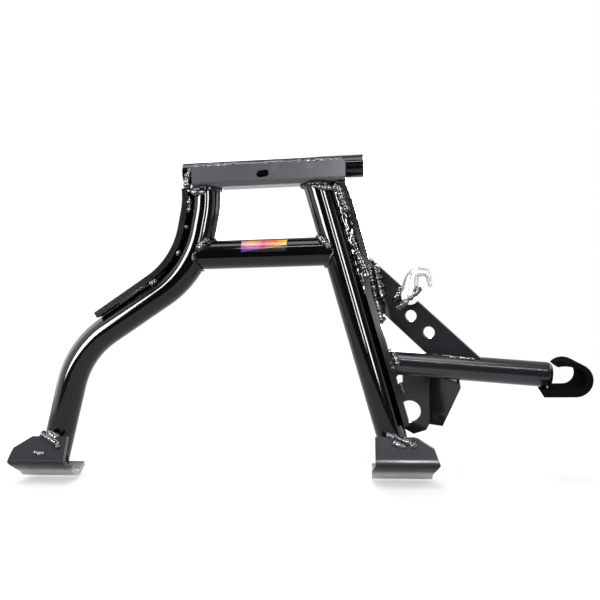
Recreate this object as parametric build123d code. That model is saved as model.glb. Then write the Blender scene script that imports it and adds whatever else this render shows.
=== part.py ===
# Centre stand for a motorcycle: a welded frame of tubes and bent plates.
# Frame: origin at the middle of the pivot tube, +X along it, +Y to the rear of the stand, +Z up.
from build123d import *
from math import atan2, cos, degrees, hypot, radians, sin, tan
import os

os.makedirs("parts", exist_ok=True)

# Pivot tube
pivot_length = 182.0
pivot_outer = 22.0
pivot_bore = 16.0

# Head plate, an angle folded round the pivot tube's front and underside
head_left = -80.0
head_right = 73.5
head_thickness = 5.0
head_top = 5.0
head_depth = 30.0
head_fold_radius = 0.6
head_corner = 3.0
slot_length = 12.5
slot_height = 7.0
slot_x = -8.0
slot_z = -5.0
slot_tilt = 6.0

# Leg and cross tubes
leg_outer = 30.0
leg_wall = 2.5
leg_bend_radius = 100.0
leg_y = -1.0
left_leg_top_x = -69.7
left_leg_shoulder = (-69.7, -32.5)
left_leg_knee = (-85.1, -98.9)
left_leg_ankle = (-214.1, -179.6)
left_leg_lean = 16.2
right_leg_top_x = 45.4
right_leg_lean = 14.7
cross_outer = 29.4
cross_wall = 2.5
cross_z = -83.2

# Flat bars on edge along the outer sides of the legs
strap_thickness = 6.0
strap_depth = 28.0
left_strap_gap = 0.2
left_strap_run = 110.0
right_strap_gap = 7.0
right_strap_contact = 0.2
right_strap_lean_in = 4.5
right_strap_first_bend = 28.0
right_strap_straight = 82.0
right_strap_joggle = 34.0
right_strap_end_z = -262.0
right_strap_bend_radius = 30.0

# Feet
foot_width = 62.0
foot_thickness = 5.0
left_foot_inner_x = -223.0
right_foot_inner_x = 96.0
foot_top = (-20.5, -267.0)
foot_nose = (-33.0, -292.0)
foot_bottom = (-9.0, -315.5)
foot_lip = (9.0, -306.0)
foot_nose_radius = 9.0
foot_bottom_radius = 14.0
foot_slope_start = 38.0
foot_shoulder = (57.0, 11.0)
foot_nose_drop = 25.0
foot_sole_corner = (55.0, 37.0)
foot_flare = 4.0
foot_flare_drop = 34.0

# Foot lever
lever_outer = 24.0
lever_wall = 2.5
lever_root = (112.0, -1.0, -196.2)
lever_tip = (258.5, -14.0, -207.6)
cap_length = 6.5
cap_edge_radius = 6.0
cap_plug = 8.0
cap_clearance = 0.1

# Foot plate bent to a C at the lever's end
tread_thickness = 4.6
tread_front_y = -38.0
tread_rear_y = 8.0
tread_bend_x = 279.8
tread_outer_radius = 15.6
tread_seat_gap = 0.7
tread_end_front_x = 252.0
tread_end_rear_x = 257.0
tread_tip_angle = 137.0
tread_cut_front_x = 281.0
tread_cut_rear_x = 266.0

# Gusset between the right strap and the lever
gusset_thickness = 5.0
gusset_width = 32.5
gusset_yaw = 14.0
gusset_corner = (101.7, 10.8, -97.7)
gusset_fall = 43.0
gusset_hole = 11.6
gusset_first_hole = 60.5
gusset_hole_pitch = 24.0
gusset_hole_offset = 15.3

# Bracket under the lever
bracket_thickness = 4.0
bracket_left_x = 113.0
bracket_clearance = 0.2
bracket_top_z = -207.0
bracket_notch = (124.8, -226.0)
bracket_bend_x = 151.0
bracket_yaw = 34.0
bracket_bend_radius = 4.0
bracket_low_left_x = 120.0
bracket_low_left_z = -264.0
bracket_low = (134.9, -272.6)
bracket_low_right = (147.7, -268.5)
bracket_step_z = -262.5
bracket_right = (180.6, -221.7)
bracket_foot_right_x = 163.5
bracket_hole = 22.5
bracket_hole_centre = (131.3, -249.3)

# Spring hook and the stub that carries it
hook_y = -7.0
hook_foot = (131.6, -131.0)
hook_shoulder = (136.6, -106.6)
hook_crown = (151.6, -106.6)
hook_tip = (153.2, -121.6)
hook_bend_radius = 6.6
hook_neck_share = 0.4
hook_crown_share = 0.58
hook_nose_share = 0.8
hook_foot_radius = 7.6
hook_neck_radius = 6.6
hook_crown_radius = 5.0
hook_nose_radius = 3.2
hook_tip_radius = 1.9
boss_radius = 8.6
boss_centre = (133.2, -129.5)
boss_front_y = -13.0

# Weld seams
seam = 3.0
head_seam = 2.4
head_seam_length = 124.0
strap_seam = 3.6
left_seam_in = 0.8
left_seam_forward = 11.0
left_seam_shares = (0.07, 0.2)
left_seam_runs = (48.0, 84.0)
right_seam_forward = 3.0
right_seam_bite = 0.5
right_seam_start = 60.0
right_seam_length = 28.0
gusset_seam_start = 92.0
gusset_seam_share = 0.6
gusset_seam_run = 30.0
gusset_lever_left = 151.0
gusset_lever_right = 193.0
gusset_lever_height = 0.94
bracket_seam_start = 216.0
bracket_seam_length = 12.0
bracket_lever_seam_x = (166.0, 171.0, 178.0)
tread_seam_share = 0.72
foot_seam_length = 22.0

# Film on the cross tube
film_length = 46.0
film_middle_x = -9.5
film_thickness = 0.3
film_low_angle = 5.0
film_high_angle = 57.0

# Sizes worked out from the ones above
pivot_radius = pivot_outer / 2
leg_radius = leg_outer / 2
cross_radius = cross_outer / 2
lever_radius = lever_outer / 2
head_front_y = -(pivot_radius + head_thickness)
head_bottom_z = -(pivot_radius + head_thickness)
strap_front_y = leg_y - strap_depth / 2
strap_rear_y = leg_y + strap_depth / 2
foot_drop = foot_top[1] - foot_bottom[1] + foot_thickness
far = 600.0


def front(x, z, y=leg_y):
    """A point of the front view at depth y."""
    return Vector(x, y, z)


def prism(points, y_from=-far, y_to=far):
    """A front-view outline of (x, z) points stretched in depth."""
    outline = make_face(Polyline([front(x, z, y_from) for x, z in points], close=True))
    return extrude(outline, amount=y_to - y_from, dir=(0, 1, 0))


def rod(path, radius):
    """A solid round bar along a path."""
    return sweep(Plane(origin=path @ 0, z_dir=path % 0) * Circle(radius), path=path)


def thick_strip(line, thickness, side):
    """A strip's section: a line thickened to one side."""
    return make_face(offset(line, thickness, side=side, closed=True))


def strap(points, radius, thickness, y_from, y_to):
    """A flat bar on edge whose inner face follows the given (x, z) points."""
    line = FilletPolyline([front(x, z, y_from) for x, z in points], radius=radius)
    return extrude(thick_strip(line, thickness, Side.LEFT), amount=y_to - y_from, dir=(0, 1, 0))


def beside(points, distance):
    """The polyline of (x, z) points moved sideways, mitred at its corners."""
    moved = []
    for i, point in enumerate(points):
        before = Vector(*point) - Vector(*points[i - 1]) if i else None
        after = Vector(*points[i + 1]) - Vector(*point) if i + 1 < len(points) else None
        normals = [Vector(-step.Y, step.X).normalized() for step in (before, after) if step]
        middle = sum(normals[1:], normals[0]).normalized()
        shift = middle * (distance / middle.dot(normals[0]))
        moved.append((point[0] + shift.X, point[1] + shift.Y))
    return moved


def save(name, shape):
    """Write one sub-part."""
    shape.label = name
    export_step(shape, "parts/" + name + ".step")
    print(name, round(shape.volume))


# Pivot tube
pivot_blank = Rot(0, 90, 0) * Cylinder(pivot_radius, pivot_length)
pivot_tube = pivot_blank - Rot(0, 90, 0) * Cylinder(pivot_bore / 2, pivot_length)
save("pivot_tube", pivot_tube)

# Head plate: its folded section is drawn along the inner faces and thickened outwards
head_line = FilletPolyline(
    Vector(head_left, -pivot_radius, head_top),
    Vector(head_left, -pivot_radius, -pivot_radius),
    Vector(head_left, head_front_y + head_depth, -pivot_radius),
    radius=head_fold_radius,
)
head_section = thick_strip(head_line, head_thickness, Side.LEFT)
head_plate = extrude(head_section, amount=head_right - head_left, dir=(1, 0, 0))
top_corners = head_plate.edges().filter_by(Axis.Y).group_by(Axis.Z)[-1]
head_plate = fillet(top_corners, head_corner)
slot_plane = Plane(origin=(slot_x, 0, slot_z), x_dir=(1, 0, 0), z_dir=(0, -1, 0))
slot = slot_plane * Rot(0, 0, slot_tilt) * SlotOverall(slot_length, slot_height)
slot_cut = extrude(slot, amount=-head_front_y + 1.0, dir=(0, -1, 0))
head_plate = head_plate - (slot_cut - pivot_blank)
save("head_plate", head_plate)

# Leg centrelines
left_lean_run = (-sin(radians(left_leg_lean)) * 160.0, -cos(radians(left_leg_lean)) * 160.0)
left_leg_points = [
    (left_leg_top_x, 0.0),
    left_leg_shoulder,
    left_leg_knee,
    left_leg_ankle,
    (left_leg_ankle[0] + left_lean_run[0], left_leg_ankle[1] + left_lean_run[1]),
]
left_leg_path = FilletPolyline([front(*point) for point in left_leg_points], radius=leg_bend_radius)
right_slope = tan(radians(right_leg_lean))
right_top = (right_leg_top_x + head_bottom_z * right_slope, 0.0)
right_bottom = (right_top[0] + 330.0 * right_slope, -330.0)
right_leg_path = Line(front(*right_top), front(*right_bottom))
right_down = Vector(sin(radians(right_leg_lean)), -cos(radians(right_leg_lean)))
right_out = Vector(cos(radians(right_leg_lean)), sin(radians(right_leg_lean)))
right_head = Vector(right_leg_top_x, head_bottom_z)


def right_side(run, distance):
    """An (x, z) point beside the right leg: run below the head plate, distance from its centreline."""
    place = right_head + right_down * run + right_out * distance
    return (place.X, place.Y)


# Feet: a wing, a nose, a sole and a lip bent from one plate; the section is drawn along its inner face
foot_inner_points = beside([foot_top, foot_nose, foot_bottom, foot_lip], foot_thickness)


def foot_lines(x):
    """The foot section's inner face line at one x."""
    return FilletPolyline(
        [Vector(x, y, z) for y, z in foot_inner_points],
        radius=[foot_nose_radius - foot_thickness, foot_bottom_radius - foot_thickness],
    )


def foot(inner_x, out):
    """A foot whose outer end lies towards out (-1 left, 1 right) of inner_x."""
    spread = foot_width + foot_flare
    start_x = inner_x - foot_flare * out
    section = thick_strip(foot_lines(start_x), foot_thickness, Side.LEFT)
    bent = extrude(section, amount=spread, dir=(out, 0, 0))
    corners = [
        (0.0, -foot_thickness),
        (foot_slope_start, -foot_thickness),
        (foot_slope_start, 0.0),
        foot_shoulder,
        (foot_width, foot_nose_drop),
        foot_sole_corner,
        (foot_sole_corner[0], foot_drop),
        (-foot_flare, foot_drop),
        (-foot_flare, foot_flare_drop),
        (0.0, foot_nose_drop),
    ]
    outline = prism([(inner_x + out * across, foot_top[1] - drop) for across, drop in corners])
    return bent & outline


left_foot = foot(left_foot_inner_x, -1)
right_foot = foot(right_foot_inner_x, 1)
save("left_foot", left_foot)
save("right_foot", right_foot)

# Everything the legs must stop at: the head plate above, the feet's inner faces below
foot_line = foot_lines(-far)
below_feet = make_face(
    [
        *foot_line.edges(),
        Polyline(
            foot_line @ 1,
            Vector(-far, far, (foot_line @ 1).Z),
            Vector(-far, far, -far),
            Vector(-far, -far, -far),
            Vector(-far, -far, (foot_line @ 0).Z),
            foot_line @ 0,
        ),
    ]
)
below_feet = extrude(below_feet, amount=2 * far, dir=(1, 0, 0))
above_head = Pos(0, 0, head_bottom_z + far / 2) * Box(2 * far, 2 * far, far)

# Legs
left_leg_blank = rod(left_leg_path, leg_radius)
right_leg_blank = rod(right_leg_path, leg_radius)
left_leg_tube = left_leg_blank - rod(left_leg_path, leg_radius - leg_wall) - above_head - below_feet
right_leg_tube = right_leg_blank - rod(right_leg_path, leg_radius - leg_wall) - above_head - below_feet
save("left_leg_tube", left_leg_tube)
save("right_leg_tube", right_leg_tube)

# Cross tube, coped to both legs
cross_end_x = right_side((cross_z - head_bottom_z) / right_down.Y, 0.0)[0]
cross_path = Line(front(left_leg_knee[0], cross_z), front(cross_end_x, cross_z))
cross_blank = rod(cross_path, cross_radius)
cross_tube = cross_blank - rod(cross_path, cross_radius - cross_wall) - left_leg_blank - right_leg_blank
save("cross_tube", cross_tube)

# Straps: the left one follows its leg, the right one stands off its leg and then joggles in to it
knee_run = (Vector(*left_leg_ankle) - Vector(*left_leg_knee)).normalized()
left_strap_end = Vector(*left_leg_knee) + knee_run * left_strap_run
left_side = [(left_leg_top_x, head_bottom_z), left_leg_shoulder, left_leg_knee]
left_side.append((left_strap_end.X, left_strap_end.Y))


def left_offset(distance):
    """The left leg's centreline moved outwards, with its bends about the same centres."""
    points = [front(*point) for point in beside(left_side, -distance)]
    return FilletPolyline(points, radius=leg_bend_radius - distance)


left_inner = leg_radius + left_strap_gap
left_strap_inside = left_offset(left_inner)
left_strap_outside = left_offset(left_inner + strap_thickness)
left_strap_face = make_face(
    [
        *left_strap_inside.edges(),
        *left_strap_outside.edges(),
        Line(left_strap_inside @ 0, left_strap_outside @ 0),
        Line(left_strap_inside @ 1, left_strap_outside @ 1),
    ]
)
left_strap = extrude(left_strap_face, amount=strap_depth / 2, dir=(0, 1, 0), both=True) - above_head
save("left_strap", left_strap)

right_close = leg_radius + right_strap_contact
right_wide = leg_radius + right_strap_gap
strap_end_run = (right_strap_end_z - head_bottom_z) / right_down.Y
right_points = [
    right_side(-strap_depth, right_wide - right_strap_lean_in),
    right_side(right_strap_first_bend, right_wide),
    right_side(right_strap_straight, right_wide),
    right_side(right_strap_straight + right_strap_joggle, right_close),
    right_side(strap_end_run, right_close),
]
right_strap_line = FilletPolyline(
    [front(x, z, strap_front_y) for x, z in right_points], radius=right_strap_bend_radius
)
right_strap_face = thick_strip(right_strap_line, strap_thickness, Side.RIGHT)
right_strap = extrude(right_strap_face, amount=strap_depth, dir=(0, 1, 0))
right_strap = right_strap - above_head - below_feet
save("right_strap", right_strap)

right_strap_outer = FilletPolyline(
    [front(x, z, -far) for x, z in beside(right_points, strap_thickness)], radius=right_strap_bend_radius
)
right_of_strap = make_face(
    [
        *right_strap_outer.edges(),
        Polyline(
            right_strap_outer @ 1,
            front(far, -far, -far),
            front(far, far, -far),
            right_strap_outer @ 0,
        ),
    ]
)
right_of_strap = extrude(right_of_strap, amount=2 * far, dir=(0, 1, 0))

# Foot lever, its butt end against the strap, with a domed cap plugged into its free end
lever_path = Line(Vector(*lever_root), Vector(*lever_tip))
lever_dir = lever_path % 0
lever_blank = rod(lever_path, lever_radius)
right_of_leg = prism(
    [
        right_side(-far, right_close + strap_thickness),
        right_side(far, right_close + strap_thickness),
        right_side(far, far),
        right_side(-far, far),
    ]
)
lever_bore = rod(lever_path, lever_radius - lever_wall)
lever_tube = (lever_blank - lever_bore) & right_of_leg
save("lever_tube", lever_tube)

tip_plane = Plane(origin=lever_tip, z_dir=lever_dir)
cap_head = extrude(tip_plane * Circle(lever_radius), amount=cap_length)
cap_rim = cap_head.edges().sort_by(Axis.X)[-1]
cap_head = fillet(cap_rim, cap_edge_radius)
cap_stem = extrude(tip_plane * Circle(lever_radius - lever_wall - cap_clearance), amount=-cap_plug)
lever_end_cap = cap_head + cap_stem
save("lever_end_cap", lever_end_cap)

# Foot plate: a strip bent to a C and seated under the lever, both ends cut slanting
tread_top_z = lever_tip[2] - lever_radius - tread_seat_gap
tread_inner_radius = tread_outer_radius - tread_thickness
tread_centre_z = tread_top_z + tread_inner_radius
tread_centre = Vector(tread_bend_x, tread_front_y, tread_centre_z)
tread_left = Vector(tread_end_front_x, tread_front_y, tread_top_z)
tread_turn = tread_centre - Vector(0, 0, tread_inner_radius)
tread_crown = tread_centre + Vector(tread_inner_radius, 0, 0)
tread_angle = radians(tread_tip_angle)
tread_end = tread_centre + Vector(cos(tread_angle), 0, sin(tread_angle)) * tread_inner_radius
tread_line = Line(tread_left, tread_turn) + ThreePointArc(tread_turn, tread_crown, tread_end)
tread_face = thick_strip(tread_line, tread_thickness, Side.LEFT)
tread_width = tread_rear_y - tread_front_y
lever_foot_plate = extrude(tread_face, amount=tread_width, dir=(0, 1, 0))
lower_cut = Polyline(
    Vector(tread_end_front_x, tread_front_y, tread_top_z),
    Vector(tread_end_rear_x, tread_rear_y, tread_top_z),
    Vector(tread_end_front_x - 1.0, tread_rear_y, tread_top_z),
    Vector(tread_end_front_x - 1.0, tread_front_y, tread_top_z),
    close=True,
)
upper_cut = Polyline(
    Vector(tread_cut_front_x, tread_front_y, tread_centre_z),
    Vector(tread_cut_rear_x, tread_rear_y, tread_centre_z),
    Vector(tread_end_front_x, tread_rear_y, tread_centre_z),
    Vector(tread_end_front_x, tread_front_y, tread_centre_z),
    close=True,
)
lever_foot_plate = (
    lever_foot_plate
    - extrude(make_face(lower_cut), amount=tread_thickness, dir=(0, 0, -1))
    - extrude(make_face(upper_cut), amount=tread_outer_radius + 1.0, dir=(0, 0, 1))
)
save("lever_foot_plate", lever_foot_plate)

# Gusset: a strip falling from the strap to the lever, yawed so that it ends over the lever
gusset_x = Vector(cos(radians(gusset_yaw)), -sin(radians(gusset_yaw)), 0)
gusset_side = gusset_x.cross(Vector(0, 0, 1))
gusset_plane = Plane(origin=gusset_corner, x_dir=gusset_x, z_dir=gusset_side) * Rot(0, 0, -gusset_fall)
gusset_length = (gusset_corner[2] - lever_root[2]) / sin(radians(gusset_fall)) + lever_outer
gusset_face = Pos(gusset_length / 2 - gusset_width, -gusset_width / 2) * Rectangle(
    gusset_length + 2 * gusset_width, gusset_width
)
for place in (gusset_first_hole, gusset_first_hole + gusset_hole_pitch):
    gusset_face -= Pos(place, -gusset_hole_offset) * Circle(gusset_hole / 2)
gusset_blank = extrude(gusset_plane * gusset_face, amount=gusset_thickness / 2, both=True)
gusset_plate = gusset_blank & right_of_strap
gusset_plate = (gusset_plate - lever_blank).solids().sort_by(SortBy.VOLUME)[-1]
save("gusset_plate", gusset_plate)

# Bracket: a sheet welded behind the strap, folded forwards to meet the lever's underside
bracket_y = strap_rear_y + bracket_clearance
fold_run = (bracket_right[0] - bracket_bend_x) + bracket_thickness
fold_end = (
    bracket_bend_x + fold_run,
    bracket_y - fold_run * tan(radians(bracket_yaw)),
)
bracket_line = FilletPolyline(
    Vector(bracket_left_x, bracket_y, bracket_low[1]),
    Vector(bracket_bend_x, bracket_y, bracket_low[1]),
    Vector(*fold_end, bracket_low[1]),
    radius=bracket_bend_radius,
)
bracket_face = thick_strip(bracket_line, bracket_thickness, Side.LEFT)
bracket_blank = extrude(bracket_face, amount=bracket_top_z - bracket_low[1], dir=(0, 0, 1))
bracket_outline = prism(
    [
        (bracket_notch[0], bracket_top_z),
        bracket_notch,
        (bracket_left_x, bracket_notch[1]),
        (bracket_low_left_x, bracket_low_left_z),
        bracket_low,
        bracket_low_right,
        (bracket_bend_x, bracket_step_z),
        (bracket_foot_right_x, bracket_step_z),
        bracket_right,
        (bracket_right[0] - bracket_thickness / 2, bracket_top_z),
    ]
)
bracket_hole_cut = Pos(bracket_hole_centre[0], 0, bracket_hole_centre[1]) * Rot(90, 0, 0) * Cylinder(
    bracket_hole / 2, far
)
under_bracket = (bracket_blank & bracket_outline) - bracket_hole_cut - lever_blank
save("under_bracket", under_bracket)

# Spring hook on its stub
boss_length = gusset_corner[1] - boss_front_y
boss_blank = Pos(boss_centre[0], boss_front_y + boss_length / 2, boss_centre[1]) * Rot(90, 0, 0) * Cylinder(
    boss_radius, boss_length
)
hook_boss = (boss_blank - gusset_blank).solids().sort_by(Axis.Y)[0]
save("hook_boss", hook_boss)
hook_corners = [hook_foot, hook_shoulder, hook_crown, hook_tip]
hook_line = FilletPolyline([front(x, z, hook_y) for x, z in hook_corners], radius=hook_bend_radius)
hook_radii = [hook_foot_radius, hook_neck_radius, hook_crown_radius, hook_nose_radius, hook_tip_radius]
hook_places = [0.0, hook_neck_share, hook_crown_share, hook_nose_share, 1.0]
hook_faces = [
    Plane(origin=hook_line @ along, z_dir=hook_line % along) * Circle(radius)
    for along, radius in zip(hook_places, hook_radii)
]
spring_hook = sweep(hook_faces, path=hook_line, multisection=True)
spring_hook = (spring_hook - boss_blank).solids().sort_by(SortBy.VOLUME)[-1]
save("spring_hook", spring_hook)

# Film round the upper front of the cross tube
film_ring = Circle(cross_radius + film_thickness) - Circle(cross_radius)
film_reach = 2 * cross_outer
film_wedge = make_face(
    Polyline(
        (0, 0),
        (film_reach * cos(radians(film_low_angle)), film_reach * sin(radians(film_low_angle))),
        (film_reach * cos(radians(film_high_angle)), film_reach * sin(radians(film_high_angle))),
        close=True,
    )
)
film_plane = Plane(
    origin=(film_middle_x - film_length / 2, leg_y, cross_z), x_dir=(0, -1, 0), z_dir=(-1, 0, 0)
)
label_film = extrude(film_plane * (film_ring & film_wedge), amount=-film_length)
save("label_film", label_film)

# Weld seams: beads cut by the pieces that they join
def trimmed(solid, *neighbours):
    """What is left of a bead outside its neighbours."""
    for neighbour in neighbours:
        solid = solid - neighbour
    return solid.solids().sort_by(SortBy.VOLUME)[-1]


def ring(plane, radius):
    """A seam round a tube or stub, centred on the given plane."""
    return plane * Torus(radius + seam / 3, seam)


def cope_seam(leg_path, leg_blank):
    """The collar where the cross tube runs into a leg."""
    collar = rod(cross_path, cross_radius + seam) & rod(leg_path, leg_radius + seam)
    return trimmed(collar, cross_blank, leg_blank)


head_seam_y = -(pivot_radius + head_seam / 3)
head_seam_z = head_top + head_seam / 3
head_seam_line = Line(
    Vector(-head_seam_length / 2, head_seam_y, head_seam_z),
    Vector(head_seam_length / 2, head_seam_y, head_seam_z),
)
save("head_seam", trimmed(rod(head_seam_line, head_seam), head_plate, pivot_blank))

left_head_ring = ring(Plane(origin=(left_leg_top_x, leg_y, head_bottom_z)), leg_radius)
right_head_ring = ring(Plane(origin=(right_leg_top_x, leg_y, head_bottom_z)), leg_radius)
save("left_head_seam", trimmed(left_head_ring, above_head, left_leg_blank, left_strap))
save("right_head_seam", trimmed(right_head_ring, above_head, right_leg_blank, right_strap))
save("left_cross_seam", cope_seam(left_leg_path, left_leg_blank))
save("right_cross_seam", cope_seam(right_leg_path, right_leg_blank))

left_seam_distance = leg_radius - left_seam_in
left_seam_side = beside(left_side, -left_seam_distance)
knee_start = Vector(*left_seam_side[2])
for name, line_ends in (
    ("left_strap_upper_seam", [left_offset(left_seam_distance) @ share for share in left_seam_shares]),
    ("left_strap_seam", [front(*(knee_start + knee_run * run)) for run in left_seam_runs]),
):
    left_seam_line = Line(*line_ends).moved(Pos(0, -left_seam_forward, 0))
    save(name, trimmed(rod(left_seam_line, strap_seam), left_strap, left_leg_blank))

right_seam_y = leg_y - right_seam_forward
right_seam_distance = leg_radius + right_strap_gap / 2
right_seam_line = Line(
    front(*right_side(right_seam_start, right_seam_distance), right_seam_y),
    front(*right_side(right_seam_start + right_seam_length, right_seam_distance), right_seam_y),
)
right_seam_rod = rod(right_seam_line, right_strap_gap / 2 + right_seam_bite)
save("right_strap_seam", trimmed(right_seam_rod, right_leg_blank, right_strap))


def gusset_front(x, z, off=0.0):
    """A point off the gusset's front face at front-view x, z."""
    fall_back = (x - gusset_corner[0]) * tan(radians(gusset_yaw))
    reach = (gusset_thickness / 2 + off) / cos(radians(gusset_yaw))
    return Vector(x, gusset_corner[1] - fall_back - reach, z)


def lever_axis(x):
    """The point of the lever's centreline at x."""
    return Vector(*lever_root) + lever_dir * ((x - lever_root[0]) / lever_dir.X)


seam_out = right_close + strap_thickness + seam / 3
joggle_end = right_strap_straight + right_strap_joggle
gusset_seam_points = [
    right_side(gusset_seam_start, seam_out + right_strap_gap * gusset_seam_share),
    right_side(joggle_end, seam_out),
    right_side(joggle_end + gusset_seam_run, seam_out),
]
gusset_seam_y = gusset_front(gusset_seam_points[1][0], 0, seam / 3).Y
gusset_seam_line = FilletPolyline(
    [front(x, z, gusset_seam_y) for x, z in gusset_seam_points], radius=right_strap_bend_radius
)
save("gusset_strap_seam", trimmed(rod(gusset_seam_line, seam), gusset_blank, right_strap))

gusset_lever_line = Line(
    *[
        gusset_front(x, lever_axis(x).Z + lever_radius * gusset_lever_height, seam / 3)
        for x in (gusset_lever_left, gusset_lever_right)
    ]
)
save("gusset_lever_seam", trimmed(rod(gusset_lever_line, seam), gusset_blank, lever_blank))

face_gap = right_close + strap_thickness - (Vector(lever_root[0], lever_root[2]) - right_head).dot(right_out)
face_run = face_gap / (lever_dir.X * right_out.X + lever_dir.Z * right_out.Y)
root_plane = Plane(
    origin=Vector(*lever_root) + lever_dir * face_run, z_dir=Vector(right_out.X, 0, right_out.Y)
)
root_ring = ring(root_plane, lever_radius) & right_of_leg
save("lever_root_seam", trimmed(root_ring, lever_blank))

boss_face = gusset_front(*boss_centre)
boss_ring = ring(Plane(origin=boss_face, z_dir=gusset_side), boss_radius)
over_gusset = extrude(gusset_plane * gusset_face, amount=boss_length, both=True)
save("hook_boss_seam", trimmed(boss_ring & over_gusset, gusset_blank, boss_blank, spring_hook))

bracket_strap_line = Line(
    *[
        front(*right_side(run, seam_out), bracket_y - seam / 3)
        for run in (bracket_seam_start, bracket_seam_start + bracket_seam_length)
    ]
)
bracket_strap_rod = rod(bracket_strap_line, seam)
save("bracket_strap_seam", trimmed(bracket_strap_rod, right_strap, bracket_blank))


def under_lever(x):
    """A point in the corner between the bracket's folded panel and the lever's underside."""
    y = bracket_y - (x - bracket_bend_x) * tan(radians(bracket_yaw)) - seam / 3
    axis = lever_axis(x)
    drop = max(lever_radius**2 - (y - axis.Y) ** 2, 0) ** 0.5
    return Vector(x, y, axis.Z - drop - seam / 3)


bracket_lever_line = Spline([under_lever(x) for x in bracket_lever_seam_x])
save("bracket_lever_seam", trimmed(rod(bracket_lever_line, seam), bracket_blank, lever_blank))

tread_seam_z = tread_top_z + seam / 2
lever_and_cap = rod(Line(Vector(*lever_root), Vector(*lever_tip) + lever_dir * cap_length), lever_radius)
for name, side in (("tread_front_seam", -1), ("tread_rear_seam", 1)):
    seam_ends = [
        lever_axis(x) + Vector(0, side * lever_radius * tread_seam_share, 0)
        for x in (tread_end_rear_x, lever_tip[0] + cap_length - cap_edge_radius)
    ]
    seam_line = Line(*[front(end.X, tread_seam_z, end.Y) for end in seam_ends])
    save(name, trimmed(rod(seam_line, seam), lever_and_cap, lever_foot_plate))

wing_y, wing_z = foot_inner_points[0]
left_ankle_x = left_leg_ankle[0] + (wing_z - left_leg_ankle[1]) * tan(radians(left_leg_lean))
right_ankle_x = right_side((head_bottom_z - wing_z) / -right_down.Y, 0.0)[0]
for name, middle, leg_blank, foot_solid in (
    ("left_foot_seam", left_ankle_x, left_leg_blank, left_foot),
    ("right_foot_seam", right_ankle_x, right_leg_blank, right_foot),
):
    seam_line = Line(
        Vector(middle - foot_seam_length / 2, wing_y - seam / 2, wing_z + seam / 2),
        Vector(middle + foot_seam_length / 2, wing_y - seam / 2, wing_z + seam / 2),
    )
    save(name, trimmed(rod(seam_line, seam), leg_blank, foot_solid, right_strap))
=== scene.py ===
import bpy
import math
from mathutils import Matrix, Vector, noise


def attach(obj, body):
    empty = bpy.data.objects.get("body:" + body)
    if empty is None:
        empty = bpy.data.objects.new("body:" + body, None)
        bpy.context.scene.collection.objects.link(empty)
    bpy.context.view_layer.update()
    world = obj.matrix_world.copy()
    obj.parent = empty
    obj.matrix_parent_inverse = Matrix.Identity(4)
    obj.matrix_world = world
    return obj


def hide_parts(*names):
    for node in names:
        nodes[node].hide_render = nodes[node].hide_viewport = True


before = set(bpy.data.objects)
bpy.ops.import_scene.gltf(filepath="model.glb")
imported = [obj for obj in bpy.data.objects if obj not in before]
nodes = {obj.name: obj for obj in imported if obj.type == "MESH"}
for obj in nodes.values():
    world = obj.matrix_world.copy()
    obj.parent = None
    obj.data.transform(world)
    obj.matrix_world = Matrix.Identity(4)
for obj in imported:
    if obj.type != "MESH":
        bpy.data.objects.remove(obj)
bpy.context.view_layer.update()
print("frame loaded:", len(nodes), "pieces")

mm = 0.001

# numbered sockets of a Mix node: factor, two colours in and one out, or two plain numbers in
mixFactor, firstColour, secondColour, mixedColour = 0, 6, 7, 2
firstNumber, secondNumber = 2, 3


# hex colour as a picker shows it, turned to Blender's linear values by the sRGB curve
def toLinear(hexText):
    values = [int(hexText[i:i + 2], 16) / 255 for i in (1, 3, 5)]
    return tuple(v / 12.92 if v <= 0.04045 else ((v + 0.055) / 1.055) ** 2.4 for v in values) + (1.0,)


# adds a node: settings are attributes or socket values, links are sockets to outputs.
# A Math node's sockets are 0, 1 and, where it multiplies and adds, 2 for what is added.
def addNode(tree, kind, settings=None, links=None):
    node = tree.nodes.new(kind)
    for key, value in (settings or {}).items():
        if isinstance(key, str) and hasattr(node, key):
            setattr(node, key, value)
        else:
            node.inputs[key].default_value = value
    for key, source in (links or {}).items():
        tree.links.new(source, node.inputs[key])
    return node


def newMaterial(name):
    material = bpy.data.materials.new(name)
    material.use_nodes = True
    material.node_tree.nodes.clear()
    return material, material.node_tree


def putInScene(thing):
    bpy.context.scene.collection.objects.link(thing)


# a mesh of the scene's own that goes wherever the stand goes
def newPiece(name, vertices, faces, finish):
    mesh = bpy.data.meshes.new(name)
    mesh.from_pydata(vertices, [], faces)
    mesh.validate()
    mesh.shade_smooth()
    mesh.materials.append(finish)
    piece = bpy.data.objects.new(name, mesh)
    putInScene(piece)
    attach(piece, "root")
    return piece


# what every coat of the enamel shares: the dust caught in it while wet, and how it lies
coat = {
    "dustSize": 2.5,        # mm between specks
    "dustStart": 0.68,      # noise level at which a speck begins, and at which it is full
    "dustFull": 0.78,
    "dustShare": 0.25,
    "dustColour": "#5b5b5e",
    "peelDepth": 0.05,      # mm of height in the orange peel
    "fadeStart": 0.3,       # noise levels between which the roughness goes from low to high
    "fadeFull": 0.7,
}

# stove enamel: black baking paint, sprayed thick over bare steel.
# Gives the eye hard white streaks, a faint orange-peel wobble in them and a near-black body.
enamel = {
    "bodyColour": "#070508",
    "fadeColour": "#0c0a0d",
    "peelSize": 5.0,        # mm between orange-peel bumps
    "peelStrength": 0.06,
    "fadeSize": 45.0,       # mm across a patch of thinner paint
    "roughLow": 0.05,
    "roughHigh": 0.10,
    "ior": 1.38,
    "gloss": 0.5,           # Blender's specular level
}

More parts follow.
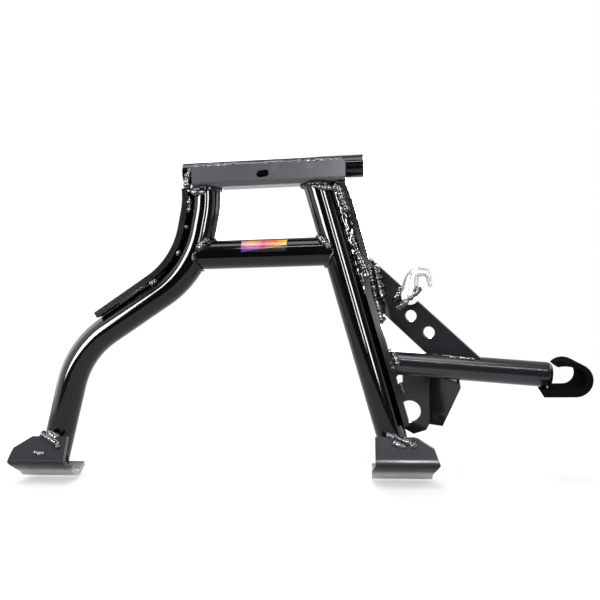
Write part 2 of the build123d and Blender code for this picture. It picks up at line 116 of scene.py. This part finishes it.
# the same paint on pressed sheet, rougher there; its greyer body is painted sheen for the light the
# flat faces catch.
# Gives the eye an even charcoal face with soft edges to its highlights.
sheetEnamel = {
    "bodyColour": "#26272a",
    "fadeColour": "#2c2d31",
    "peelSize": 3.0,
    "peelStrength": 0.08,
    "fadeSize": 30.0,
    "roughLow": 0.12,
    "roughHigh": 0.18,
    "ior": 1.42,
    "gloss": 0.5,
}

# the head plate's broad face: a pale grey body on the same paint, painted sheen for the light its
# face catches
headEnamel = dict(sheetEnamel, bodyColour="#5c5e63", fadeColour="#606267",
                  roughLow=0.24, roughHigh=0.28)

# the left strap: a brownish black lighter than the tubes' paint; the lift is painted sheen for the
# light its face catches
strapEnamel = dict(enamel, bodyColour="#282225", fadeColour="#2f282b",
                   roughLow=0.12, roughHigh=0.18)

# the right strap stands edge on to the light; its dark grey body is painted sheen for that light
edgeEnamel = dict(enamel, bodyColour="#1a1b1d", fadeColour="#202124",
                  roughLow=0.10, roughHigh=0.16)

# feet: a lighter body than the sheet paint, painted light for their upward faces; a near-black band
# in the lower bend, painted shade; and a pale ragged edge below it, painted reflection of the white
# floor. The heights are z in mm, and floorReflectionRagged is how many mm the pale edge wanders.
footEnamel = dict(sheetEnamel, bodyColour="#3a3b40", fadeColour="#414247",
                  paintedShadeColour="#050507", paintedShadeTop=-289.0, paintedShadeBottom=-291.5,
                  floorReflectionColour="#a0a1a4", floorReflectionTop=-299.0, floorReflectionBottom=-304.0, floorReflectionRagged=6.0,
                  roughLow=0.16, roughHigh=0.22)

# bracket under the lever: a darker body than the sheet paint, painted shade from the lever above
bracketEnamel = dict(sheetEnamel, bodyColour="#17171b", fadeColour="#1c1c20")

# the lever, handled and scuffed to satin: one broad grey sheen in place of streaks; its body, lighter
# than the tubes' paint, is painted sheen
leverEnamel = dict(enamel, bodyColour="#1c1d21", fadeColour="#222327",
                   roughLow=0.17, roughHigh=0.23, ior=1.5)

# the foot plate, rubbed matt by boots: swallows the lamps and shows hardly a highlight
treadEnamel = dict(sheetEnamel, bodyColour="#111113", fadeColour="#19191b",
                   roughLow=0.45, roughHigh=0.6, gloss=0.0)

# paint run thin and lumpy over weld metal: glints on each ripple, dark in the valleys
weldEnamel = {
    "bodyColour": "#0f0f11",
    "fadeColour": "#1b1b1d",
    "peelSize": 2.0,
    "peelStrength": 0.10,
    "fadeSize": 6.0,
    "roughLow": 0.07,
    "roughHigh": 0.16,
    "ior": 1.85,
    "gloss": 0.5,
}


def makeEnamel(name, paint):
    material, tree = newMaterial(name)
    place = addNode(tree, "ShaderNodeTexCoord")
    fade = addNode(tree, "ShaderNodeTexNoise",
                   {"Scale": 1000 / paint["fadeSize"], "Detail": 3.0},
                   {"Vector": place.outputs["Object"]})
    peel = addNode(tree, "ShaderNodeTexNoise",
                   {"Scale": 1000 / paint["peelSize"], "Detail": 1.0},
                   {"Vector": place.outputs["Object"]})
    specks = addNode(tree, "ShaderNodeTexNoise",
                     {"Scale": 1000 / coat["dustSize"], "Detail": 4.0, "Roughness": 0.8},
                     {"Vector": place.outputs["Object"]})
    body = addNode(tree, "ShaderNodeMix",
                   {"data_type": "RGBA", firstColour: toLinear(paint["bodyColour"]),
                    secondColour: toLinear(paint["fadeColour"])},
                   {mixFactor: fade.outputs["Fac"]})
    dust = addNode(tree, "ShaderNodeMapRange",
                   {"From Min": coat["dustStart"], "From Max": coat["dustFull"],
                    "To Max": coat["dustShare"]},
                   {"Value": specks.outputs["Fac"]})
    shade = addNode(tree, "ShaderNodeMix",
                    {"data_type": "RGBA", secondColour: toLinear(coat["dustColour"])},
                    {mixFactor: dust.outputs["Result"], firstColour: body.outputs[mixedColour]})
    # feet only: painted shade in the lower bend, then a painted reflection of the white floor along
    # the lower edge, both set by height
    if "floorReflectionColour" in paint:
        axes = addNode(tree, "ShaderNodeSeparateXYZ", {}, {"Vector": place.outputs["Object"]})
        paintedShadeMask = addNode(tree, "ShaderNodeMapRange",
                         {"From Min": paint["paintedShadeTop"] * mm, "From Max": paint["paintedShadeBottom"] * mm},
                         {"Value": axes.outputs["Z"]})
        shade = addNode(tree, "ShaderNodeMix",
                        {"data_type": "RGBA", secondColour: toLinear(paint["paintedShadeColour"])},
                        {mixFactor: paintedShadeMask.outputs["Result"],
                         firstColour: shade.outputs[mixedColour]})
        ragged = addNode(tree, "ShaderNodeMath",
                         {"operation": "MULTIPLY_ADD", 1: paint["floorReflectionRagged"] * mm},
                         {0: specks.outputs["Fac"], 2: axes.outputs["Z"]})
        middle = paint["floorReflectionRagged"] / 2
        paintedReflectionMask = addNode(tree, "ShaderNodeMapRange",
                       {"From Min": (paint["floorReflectionTop"] + middle) * mm,
                        "From Max": (paint["floorReflectionBottom"] + middle) * mm},
                       {"Value": ragged.outputs["Value"]})
        shade = addNode(tree, "ShaderNodeMix",
                        {"data_type": "RGBA", secondColour: toLinear(paint["floorReflectionColour"])},
                        {mixFactor: paintedReflectionMask.outputs["Result"],
                         firstColour: shade.outputs[mixedColour]})
    rough = addNode(tree, "ShaderNodeMapRange",
                    {"From Min": coat["fadeStart"], "From Max": coat["fadeFull"],
                     "To Min": paint["roughLow"], "To Max": paint["roughHigh"]},
                    {"Value": fade.outputs["Fac"]})
    bump = addNode(tree, "ShaderNodeBump",
                   {"Strength": paint["peelStrength"], "Distance": coat["peelDepth"] * mm},
                   {"Height": peel.outputs["Fac"]})
    surface = addNode(tree, "ShaderNodeBsdfPrincipled",
                      {"IOR": paint["ior"], "Specular IOR Level": paint["gloss"]},
                      {"Base Color": shade.outputs[mixedColour],
                       "Roughness": rough.outputs["Result"], "Normal": bump.outputs["Normal"]})
    addNode(tree, "ShaderNodeOutputMaterial", {}, {"Surface": surface.outputs["BSDF"]})
    return material


enamelBlack = makeEnamel("blackStoveEnamel", enamel)
enamelSheet = makeEnamel("blackEnamelOnSheet", sheetEnamel)
enamelWeld = makeEnamel("blackEnamelOnWeld", weldEnamel)
enamelHead = makeEnamel("enamelWithPaintedSheenOnHeadPlate", headEnamel)
enamelStrap = makeEnamel("brownishEnamelWithPaintedSheenOnStrap", strapEnamel)
enamelEdge = makeEnamel("blackEnamelOnRightStrap", edgeEnamel)
enamelFoot = makeEnamel("enamelWithPaintedShadeAndReflectionOnFeet", footEnamel)
enamelBracket = makeEnamel("blackEnamelOnBracket", bracketEnamel)
enamelLever = makeEnamel("satinEnamelOnLever", leverEnamel)
enamelTread = makeEnamel("rubbedEnamelOnFootPlate", treadEnamel)

# foil film under clear lacquer: printed colour fields that run into each other, with a soft gloss
film = {
    "left": -32.5, "right": 13.5,   # mm along the cross tube
    "low": -82.0, "high": -70.5,    # mm of height it covers
    "upperFields": ["#e2909a", "#f0b878", "#e2608a", "#f08a3c", "#f4c85a"],
    "lowerFields": ["#6a36b8", "#9a3cc4", "#b02458", "#d05a30", "#f0a840"],
    "fieldPlaces": [0.0, 0.22, 0.5, 0.74, 1.0],
    "fieldsMeet": (0.35, 0.65),     # shares of the height between which lower turns to upper
    "blotchSize": 9.0,              # mm across the blotches that push the fields about
    "wander": 0.35,                 # how far they push, and the shift that centres it
    "wanderShift": -0.17,
    "darkColour": "#0c0a0e",        # the foil's lower edge turns black towards the right
    "darkRise": 0.42,
    "darkBlend": 0.10,
    "roughness": 0.25,
    "ior": 1.45,
    "lacquer": 0.3,
}


def makeFilm():
    material, tree = newMaterial("lacqueredFoilFilm")
    place = addNode(tree, "ShaderNodeTexCoord")
    axes = addNode(tree, "ShaderNodeSeparateXYZ", {}, {"Vector": place.outputs["Object"]})
    along = addNode(tree, "ShaderNodeMapRange",
                    {"From Min": film["left"] * mm, "From Max": film["right"] * mm},
                    {"Value": axes.outputs["X"]})
    up = addNode(tree, "ShaderNodeMapRange",
                 {"From Min": film["low"] * mm, "From Max": film["high"] * mm},
                 {"Value": axes.outputs["Z"]})
    blotch = addNode(tree, "ShaderNodeTexNoise",
                     {"Scale": 1000 / film["blotchSize"], "Detail": 2.0},
                     {"Vector": place.outputs["Object"]})
    shift = addNode(tree, "ShaderNodeMath",
                    {"operation": "MULTIPLY_ADD", 1: film["wander"], 2: film["wanderShift"]},
                    {0: blotch.outputs["Fac"]})
    pushed = addNode(tree, "ShaderNodeMath", {"operation": "ADD"},
                     {0: along.outputs["Result"], 1: shift.outputs["Value"]})
    ramps = []
    for fields in (film["lowerFields"], film["upperFields"]):
        ramp = addNode(tree, "ShaderNodeValToRGB", {}, {"Fac": pushed.outputs["Value"]})
        stops = ramp.color_ramp.elements
        while len(stops) < len(fields):
            stops.new(0.5)      # anywhere: the next lines put each stop in its place
        for stop, spot, colour in zip(stops, film["fieldPlaces"], fields):
            stop.position = spot
            stop.color = toLinear(colour)
        ramps.append(ramp)
    lower, upper = ramps
    meetStart, meetEnd = film["fieldsMeet"]
    rise = addNode(tree, "ShaderNodeMapRange", {"From Min": meetStart, "From Max": meetEnd},
                   {"Value": up.outputs["Result"]})
    fieldsMixed = addNode(tree, "ShaderNodeMix", {"data_type": "RGBA"},
                          {mixFactor: rise.outputs["Result"],
                           firstColour: lower.outputs["Color"],
                           secondColour: upper.outputs["Color"]})
    edge = addNode(tree, "ShaderNodeMath", {"operation": "MULTIPLY_ADD", 1: -film["darkRise"]},
                   {0: pushed.outputs["Value"], 2: up.outputs["Result"]})
    lit = addNode(tree, "ShaderNodeMapRange", {"From Min": 0.0, "From Max": film["darkBlend"]},
                  {"Value": edge.outputs["Value"]})
    foil = addNode(tree, "ShaderNodeMix",
                   {"data_type": "RGBA", firstColour: toLinear(film["darkColour"])},
                   {mixFactor: lit.outputs["Result"],
                    secondColour: fieldsMixed.outputs[mixedColour]})
    surface = addNode(tree, "ShaderNodeBsdfPrincipled",
                      {"Roughness": film["roughness"], "IOR": film["ior"],
                       "Coat Weight": film["lacquer"]},
                      {"Base Color": foil.outputs[mixedColour]})
    addNode(tree, "ShaderNodeOutputMaterial", {}, {"Surface": surface.outputs["BSDF"]})
    return material


filmPrint = makeFilm()

# zinc plating on drawn wire: near white, partly the plating's own colour and partly painted glare of
# the room
zinc = {
    "colour": "#d9dadd",
    "dullColour": "#a9abb0",
    "spangleSize": 3.0,         # mm across a crystal patch
    "dullStart": 0.4,           # noise levels between which the plating turns dull
    "dullFull": 0.75,
    "roughLow": 0.22,
    "roughHigh": 0.36,
    "metallic": 0.45,           # partly a whitish diffuse body: painted glare
}


def makeZinc():
    material, tree = newMaterial("zincWithPaintedGlareOnWire")
    place = addNode(tree, "ShaderNodeTexCoord")
    spangle = addNode(tree, "ShaderNodeTexNoise",
                      {"Scale": 1000 / zinc["spangleSize"], "Detail": 3.0},
                      {"Vector": place.outputs["Object"]})
    spread = addNode(tree, "ShaderNodeMapRange",
                     {"From Min": zinc["dullStart"], "From Max": zinc["dullFull"]},
                     {"Value": spangle.outputs["Fac"]})
    colour = addNode(tree, "ShaderNodeMix",
                     {"data_type": "RGBA", firstColour: toLinear(zinc["colour"]),
                      secondColour: toLinear(zinc["dullColour"])},
                     {mixFactor: spread.outputs["Result"]})
    rough = addNode(tree, "ShaderNodeMapRange",
                    {"To Min": zinc["roughLow"], "To Max": zinc["roughHigh"]},
                    {"Value": spangle.outputs["Fac"]})
    surface = addNode(tree, "ShaderNodeBsdfPrincipled", {"Metallic": zinc["metallic"]},
                      {"Base Color": colour.outputs[mixedColour],
                       "Roughness": rough.outputs["Result"]})
    addNode(tree, "ShaderNodeOutputMaterial", {}, {"Surface": surface.outputs["BSDF"]})
    return material


zincWire = makeZinc()

# the pieces that aren't plain black enamel; the seams get the paint of the weld metal
finishes = {
    "head_plate": enamelHead,
    "gusset_plate": enamelSheet,
    "under_bracket": enamelBracket,
    "left_foot": enamelFoot,
    "right_foot": enamelFoot,
    "left_strap": enamelStrap,
    "right_strap": enamelEdge,
    "lever_tube": enamelLever,
    "lever_end_cap": enamelLever,
    "lever_foot_plate": enamelTread,
    "spring_hook": zincWire,
    "label_film": filmPrint,
}
for name, piece in nodes.items():
    finish = enamelWeld if name.endswith("_seam") else finishes.get(name, enamelBlack)
    piece.data.materials.clear()
    piece.data.materials.append(finish)
print("paint on", len(nodes), "pieces")


# a bead of weld metal: a tube along a path, heaped in ripples like fallen coins.
# The closed rings carry the tubes' own thick paint, the open runs the thin one that glints.
bead = {
    "pathStep": 0.55,       # mm between the rings of its mesh
    "sides": 14,
    "rippleStep": 5.0,      # mm between ripples
    "rippleHeight": 0.20,   # share of the radius
    "rippleMiddle": 0.6,    # ripple level that leaves the radius as it is
    "lumpSize": 4.5,        # mm across the uneven lumps
    "lumpHeight": 0.60,
    "grain": 0.22,          # mm of fine unevenness
    "grainSize": 2.8,
    "endRings": 5,          # rings over which an open run tapers, and what its end starts from
    "endShare": 0.15,
    "firstSide": (0.3, -0.9, 0.31),     # any direction that no path starts in
}
circleSteps = 72


def pathThrough(points):
    walked = [Vector(points[0])]
    for start, end in zip(points, points[1:]):
        start, end = Vector(start), Vector(end)
        count = max(1, round((end - start).length / bead["pathStep"]))
        walked += [start.lerp(end, i / count) for i in range(1, count + 1)]
    return walked


def weldBead(name, node, points, radius, closed):
    path = pathThrough(points)
    if closed:
        path = path[:-1]
    count, sides = len(path), bead["sides"]
    vertices, faces = [], []
    side = Vector(bead["firstSide"]).normalized()
    run = 0.0
    for i, middle in enumerate(path):
        ahead = path[(i + 1) % count] if closed or i + 1 < count else middle
        behind = path[i - 1] if closed or i else middle
        along = (ahead - behind).normalized()
        side = (side - along * side.dot(along)).normalized()
        other = along.cross(side)
        run += (middle - behind).length if i else 0.0
        ripple = abs(math.sin(math.pi * run / bead["rippleStep"]))
        lump = noise.noise(middle / bead["lumpSize"])
        size = radius * (1 + bead["rippleHeight"] * (ripple - bead["rippleMiddle"])
                         + bead["lumpHeight"] * lump)
        if not closed:
            fromEnd = min(i, count - 1 - i) / bead["endRings"]
            size *= math.sqrt(min(1.0, bead["endShare"] + fromEnd))
        for k in range(sides):
            turn = 2 * math.pi * k / sides
            spot = middle + (side * math.cos(turn) + other * math.sin(turn)) * size
            grain = bead["grain"] * noise.noise(spot / bead["grainSize"])
            spot += (spot - middle).normalized() * grain
            vertices.append(spot * mm)
    rings = count if closed else count - 1
    for i in range(rings):
        for k in range(sides):
            a = i * sides + k
            b = i * sides + (k + 1) % sides
            step = sides if i + 1 < count else -i * sides
            faces.append((a, b, b + step, a + step))
    if not closed:
        faces.append(tuple(reversed(range(sides))))
        faces.append(tuple(range((count - 1) * sides, count * sides)))
    piece = newPiece(name, vertices, faces, enamelBlack if closed else enamelWeld)
    if node:
        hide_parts(node)


def ringPoints(centre, axis, radius):
    axis = Vector(axis).normalized()
    first = axis.orthogonal().normalized()
    second = axis.cross(first)
    turns = [2 * math.pi * i / circleSteps for i in range(circleSteps + 1)]
    return [Vector(centre) + (first * math.cos(t) + second * math.sin(t)) * radius for t in turns]


# places in mm: the legs' plane, the cross tube's height and the head welds' height
legY = -1.0
crossZ = -83.2
headWeldZ = -17.4

# a leg's axis near the cross tube, as (z, x) from top to bottom
leftLegAxis = [(-58.6, -75.8), (-68.0, -78.4), (-83.2, -84.9), (-100.0, -95.2)]
rightLegAxis = [(-16.0, 45.4), (-116.0, 71.6)]

# radii in mm of the two tubes with a little of the bead's height
saddleCrossRadius = 15.2
saddleLegRadius = 15.6


# the saddle line where the cross tube runs into a leg
def saddlePoints(legAxis, side):
    points = []
    for i in range(circleSteps + 1):
        t = 2 * math.pi * i / circleSteps
        y, z = saddleCrossRadius * math.sin(t), crossZ + saddleCrossRadius * math.cos(t)
        for (z0, x0), (z1, x1) in zip(legAxis, legAxis[1:]):
            if z >= z1:
                break
        slope = (x1 - x0) / (z1 - z0)
        reach = math.sqrt(saddleLegRadius ** 2 - y ** 2) * math.sqrt(1 + slope ** 2)
        points.append((x0 + slope * (z - z0) + side * reach, legY + y, z))
    return points


# beads by name: the CAD node that it stands for, if any, its path and radius in mm, and
# whether it is a closed ring
welds = {
    "leftHeadWeld": ("left_head_seam",
                     ringPoints((-69.7, legY, headWeldZ), (0, 0, 1), 15.0), 2.3, True),
    "rightHeadWeld": ("right_head_seam",
                      ringPoints((45.7, legY, headWeldZ), (0, 0, 1), 15.2), 2.3, True),
    "leftHeadSecond": (None, [(-86, -13, -18), (-76, -15.5, -20.5), (-66, -14.5, -20.5)],
                       3.0, False),
    "rightHeadSecond": (None, [(41, -13.5, -19), (50, -15.5, -21), (58, -14.5, -22),
                               (66, -13, -24)], 3.2, False),
    "headWeld": ("head_seam", [(-78, -14.2, 5.2), (-20, -13.8, 5.0), (72, -14.2, 5.2)],
                 1.9, False),
    "headEndWeld": (None, [(-80.5, -13.5, 4), (-83.5, -13.5, -2), (-86, -13, -9.5),
                           (-85.5, -13, -17)], 3.4, False),
    "rightTopWeld": (None, [(60, -13.5, -20), (67, -13.5, -23), (70, -13, -34),
                            (75.5, -12, -47)], 3.6, False),
    "leftCrossWeld": ("left_cross_seam", saddlePoints(leftLegAxis, 1), 1.7, True),
    "rightCrossWeld": ("right_cross_seam", saddlePoints(rightLegAxis, -1), 1.7, True),
    "leftCrossSecond": (None, [(-77.5, -15.5, -77.5), (-71, -14.5, -71), (-66, -12.5, -67)],
                        3.2, False),
    "rightCrossSecond": (None, [(57, -15.2, -80.5), (50.5, -14.2, -73.5),
                                (45.5, -12.2, -68.5)], 3.0, False),
    "leftStrapUpperWeld": ("left_strap_upper_seam", [(-84.2, -12, -23), (-85.6, -12, -40)],
                           2.6, False),
    "leftStrapWeld": ("left_strap_seam", [(-133.6, -12, -110.8), (-164.5, -12, -130.0)],
                      2.0, False),
    "leftTackUpper": (None, [(-87.6, -12.6, -52), (-88.8, -12.6, -57)], 2.8, False),
    "leftTackMiddle": (None, [(-96.5, -12.6, -77.5), (-99.5, -12.6, -83)], 3.0, False),
    "leftTackLower": (None, [(-121, -12.6, -106.5), (-130, -12.6, -112)], 2.9, False),
    "rightStrapWeld": ("right_strap_seam", [(78.5, -9, -70), (84, -10.5, -86), (90, -12, -101),
                                            (93, -12, -111)], 4.2, False),
    "gussetStrapWeld": ("gusset_strap_seam", [(92.4, 4.2, -92), (95.4, 3.4, -110),
                                              (98.6, 3, -128), (102.6, 3, -146),
                                              (105, 3, -158)], 4.8, False),
    "gussetStrapSecond": (None, [(99, 1.5, -99), (102.4, 1.2, -116), (106, 0.8, -133)],
                          4.2, False),
    "gussetLeverWeld": ("gusset_lever_seam", [(151, -4.8, -188.4), (193, -15.6, -191.8)],
                        1.3, False),
    "hookWeld": ("hook_boss_seam", [(120, -7.5, -142), (130, -12, -134.5), (137, -13, -128),
                                    (143.5, -11.5, -121.5)], 3.3, False),
    "hookSecond": (None, [(117, -2.0, -136), (121.5, -5.0, -129.5), (124, -5.5, -121.5)],
                   3.6, False),
    "leverRootWeld": ("lever_root_seam",
                      ringPoints((114.2, -1.2, -196.4), (0.967, 0, 0.254), 12.2), 2.6, True),
    "leverRootSecond": (None, [(114.5, -8, -184.5), (118, -11.5, -190), (120.5, -13, -198)],
                        3.0, False),
    "leftFootWeld": ("left_foot_seam", [(-252, -19.5, -264.5), (-241, -22, -268),
                                        (-232, -24.5, -272.5), (-229, -26.8, -278)],
                     3.6, False),
    "leftFootSecond": (None, [(-257, -27.4, -281), (-250, -28.6, -283), (-244, -28.4, -282)],
                       2.6, False),
    "leftFootThird": (None, [(-243, -20.5, -262), (-236, -22.0, -266), (-231, -22.5, -268)],
                      3.2, False),
    "rightFootWeld": ("right_foot_seam", [(107, -18.5, -264), (118, -20, -268),
                                          (128, -22, -271), (136, -24.2, -276)], 3.2, False),
    "rightFootSecond": (None, [(112, -21.6, -270.5), (120, -23.4, -274), (127, -24.4, -276)],
                        2.8, False),
}
for name, (node, points, radius, closed) in welds.items():
    weldBead(name, node, points, radius, closed)
print("weld beads:", len(welds))

# infill between the right leg and its strap: weld metal run flat into the gap, in mm
infill = {
    "legTop": (59.6, -16.4),        # x and z, in the leg's wall
    "legBottom": (88.8, -127.0),
    "strap": [(68.6, -16.4), (74.6, -38.0), (81.3, -63.6), (88.2, -89.7), (90.4, -127.0)],
    "front": -10.0,                 # y of its two faces
    "back": -6.0,
    "waves": 1.1,                   # unevenness of its front, and how wide a wave is
    "waveSize": 6.0,
    "grain": 0.4,
    "grainSize": 2.2,
    "rows": 64,
    "columns": 10,
}


def strapSide(z):
    for (x0, z0), (x1, z1) in zip(infill["strap"], infill["strap"][1:]):
        if z >= z1:
            return x0 + (x1 - x0) * (z0 - z) / (z0 - z1)
    return infill["strap"][-1][0]


def makeInfill():
    (x0, z0), (x1, z1) = infill["legTop"], infill["legBottom"]
    rows, columns = infill["rows"], infill["columns"]
    vertices, faces = [], []
    for i in range(rows + 1):
        z = z0 + (z1 - z0) * i / rows
        near = x0 + (x1 - x0) * i / rows
        for k in range(columns + 1):
            spot = Vector((near + (strapSide(z) - near) * k / columns, infill["front"], z))
            spot.y += (infill["waves"] * noise.noise(spot / infill["waveSize"])
                       + infill["grain"] * noise.noise(spot / infill["grainSize"]))
            vertices.append(spot * mm)
        vertices.append(Vector((strapSide(z), infill["back"], z)) * mm)
        vertices.append(Vector((near, infill["back"], z)) * mm)
    width = columns + 3     # the front's points and the two at the back
    for i in range(rows):
        for k in range(width):
            a, b = i * width + k, i * width + (k + 1) % width
            faces.append((a, b, b + width, a + width))
    faces.append(tuple(reversed(range(width))))
    faces.append(tuple(range(rows * width, (rows + 1) * width)))
    piece = newPiece("rightStrapInfill", vertices, faces, enamelWeld)


makeInfill()
print("infill made")

# white sweep: matt paper floor whose colour the camera and the gloss see as white, and which
# keeps the shadows. Lengths are in metres.
studio = {
    "floorHeight": -0.3158,
    "floorColour": "#f4f4f4",
    "floorGlow": 0.46,      # share of plain white that is seen near the stand
    "glowStart": 0.35,      # how far out that share begins to grow
    "floorFade": 0.75,      # how far out the floor is plain white
    "frontEdge": -0.44,     # where the paper ends before the stand
    "paperReach": 7.0,      # how far it goes to the sides and back
    "worldFront": 0.06,     # strength of the walls in the gloss, before and behind the stand
    "worldBack": 0.75,
    "wallsStart": -0.9,     # directions along Y between which one turns to the other
    "wallsEnd": 0.35,
}


def makeFloor():
    material, tree = newMaterial("mattPaperSweep")
    path = addNode(tree, "ShaderNodeLightPath")
    paper = addNode(tree, "ShaderNodeBsdfDiffuse", {"Color": toLinear(studio["floorColour"])})
    white = addNode(tree, "ShaderNodeEmission", {"Color": (1, 1, 1, 1), "Strength": 1.0})
    seen = addNode(tree, "ShaderNodeMath", {"operation": "MAXIMUM"},
                   {0: path.outputs["Is Camera Ray"], 1: path.outputs["Is Glossy Ray"]})
    place = addNode(tree, "ShaderNodeTexCoord")
    distance = addNode(tree, "ShaderNodeVectorMath", {"operation": "LENGTH"},
                       {0: place.outputs["Object"]})
    glow = addNode(tree, "ShaderNodeMapRange",
                   {"From Min": studio["glowStart"], "From Max": studio["floorFade"],
                    "To Min": studio["floorGlow"], "To Max": 1.0},
                   {"Value": distance.outputs["Value"]})
    share = addNode(tree, "ShaderNodeMath", {"operation": "MULTIPLY"},
                    {0: seen.outputs["Value"], 1: glow.outputs["Result"]})
    mix = addNode(tree, "ShaderNodeMixShader", {},
                  {0: share.outputs["Value"], 1: paper.outputs["BSDF"],
                   2: white.outputs["Emission"]})
    addNode(tree, "ShaderNodeOutputMaterial", {}, {"Surface": mix.outputs["Shader"]})
    return material


floorMesh = bpy.data.meshes.new("floor")
reach, frontEdge = studio["paperReach"], studio["frontEdge"]
corners = [(-reach, frontEdge, 0), (reach, frontEdge, 0), (reach, reach, 0), (-reach, reach, 0)]
floorMesh.from_pydata(corners, [], [(0, 1, 2, 3)])
floorMesh.materials.append(makeFloor())
floor = bpy.data.objects.new("floor", floorMesh)
floor.location = (0, 0, studio["floorHeight"])
putInScene(floor)

# world: a dim studio before the object, pale walls beside and behind it, plain white to look at
world = bpy.data.worlds.new("studioWalls")
bpy.context.scene.world = world
world.use_nodes = True
worldTree = world.node_tree
worldTree.nodes.clear()
look = addNode(worldTree, "ShaderNodeTexCoord")
axes = addNode(worldTree, "ShaderNodeSeparateXYZ", {}, {"Vector": look.outputs["Generated"]})
walls = addNode(worldTree, "ShaderNodeMapRange",
                {"From Min": studio["wallsStart"], "From Max": studio["wallsEnd"],
                 "To Min": studio["worldFront"], "To Max": studio["worldBack"]},
                {"Value": axes.outputs["Y"]})
rays = addNode(worldTree, "ShaderNodeLightPath")
strength = addNode(worldTree, "ShaderNodeMix", {"data_type": "FLOAT", secondNumber: 1.0},
                   {mixFactor: rays.outputs["Is Camera Ray"], firstNumber: walls.outputs["Result"]})
sky = addNode(worldTree, "ShaderNodeBackground", {"Color": (1, 1, 1, 1)},
              {"Strength": strength.outputs[0]})
addNode(worldTree, "ShaderNodeOutputWorld", {}, {"Surface": sky.outputs["Background"]})

# lamps by name: place and size in metres, watts, and whether it lights the paint's body too;
# the others only shine in the gloss
lamps = {
    "overheadBox": ((-0.15, -0.30, 1.10), 1.1, 0.6, 11.0, True),
    "frontBar": ((0.10, -1.02, 0.86), 0.9, 0.055, 5.6, True),
    "leftBox": ((-1.09, -1.17, 0.04), 0.46, 0.66, 44.0, False),
    "middleBox": ((0.20, -1.58, 0.04), 0.13, 0.75, 13.0, False),
    "rightBox": ((0.74, -1.42, 0.08), 0.22, 0.80, 26.0, False),
    "backBox": ((-0.55, 1.35, 0.55), 0.9, 0.5, 9.0, True),
    "backBar": ((0.22, 1.50, 0.10), 0.20, 0.8, 16.0, False),
    "leftSoft": ((-1.55, -0.38, 0.20), 1.2, 1.2, 9.0, False),
    "rightSoft": ((1.6, -0.20, 0.20), 1.0, 1.2, 6.5, False),
    "leftWall": ((-1.5, 0.5, 0.3), 0.7, 1.2, 7.0, True),
    "rightWall": ((1.6, 0.6, 0.3), 0.7, 1.2, 9.0, True),
}
lampTarget = Vector((0.0, 0.0, -0.12))

# black flags: the pieces that a lamp is kept off, so that they stay satin
flags = {
    "leftBox": ["left_foot"],
    "middleBox": ["lever_tube", "lever_end_cap"],
    "rightBox": ["lever_tube", "lever_end_cap"],
}
for name, (place, width, height, watts, lightsBody) in lamps.items():
    light = bpy.data.lights.new(name, "AREA")
    light.shape = "RECTANGLE"
    light.size = width
    light.size_y = height
    light.energy = watts
    lamp = bpy.data.objects.new(name, light)
    lamp.location = place
    lamp.visible_diffuse = lightsBody
    lamp.rotation_euler = (lampTarget - Vector(place)).to_track_quat("-Z", "Y").to_euler()
    putInScene(lamp)
    if name in flags:
        shaded = bpy.data.collections.new(name + "Flags")
        for node in flags[name]:
            shaded.objects.link(nodes[node])
        for entry in shaded.collection_objects:
            entry.light_linking.link_state = "EXCLUDE"
        lamp.light_linking.receiver_collection = shaded
print("studio and", len(lamps), "lamps")

# camera: a little above the middle of the stand and to its right; place, lens and sensor in mm
view = {
    "place": (105.7, -653.2, -95.8),
    "right": (0.9919, 0.1233, -0.0303),
    "up": (0.0232, 0.0579, 0.9981),
    "lens": 39.0,
    "sensor": 36.0,
    "nearest": 10.0,
}
camera = bpy.data.cameras.new("camera")
camera.lens = view["lens"]
camera.sensor_width = view["sensor"]
camera.clip_start = view["nearest"] * mm
cameraObject = bpy.data.objects.new("camera", camera)
right = Vector(view["right"]).normalized()
back = right.cross(Vector(view["up"])).normalized()
up = back.cross(right)
turn = Matrix((right, up, back)).transposed().to_4x4()
cameraObject.matrix_world = Matrix.Translation(Vector(view["place"]) * mm) @ turn
putInScene(cameraObject)
bpy.context.scene.camera = cameraObject
bpy.context.scene.view_settings.view_transform = "Standard"
print("camera set")
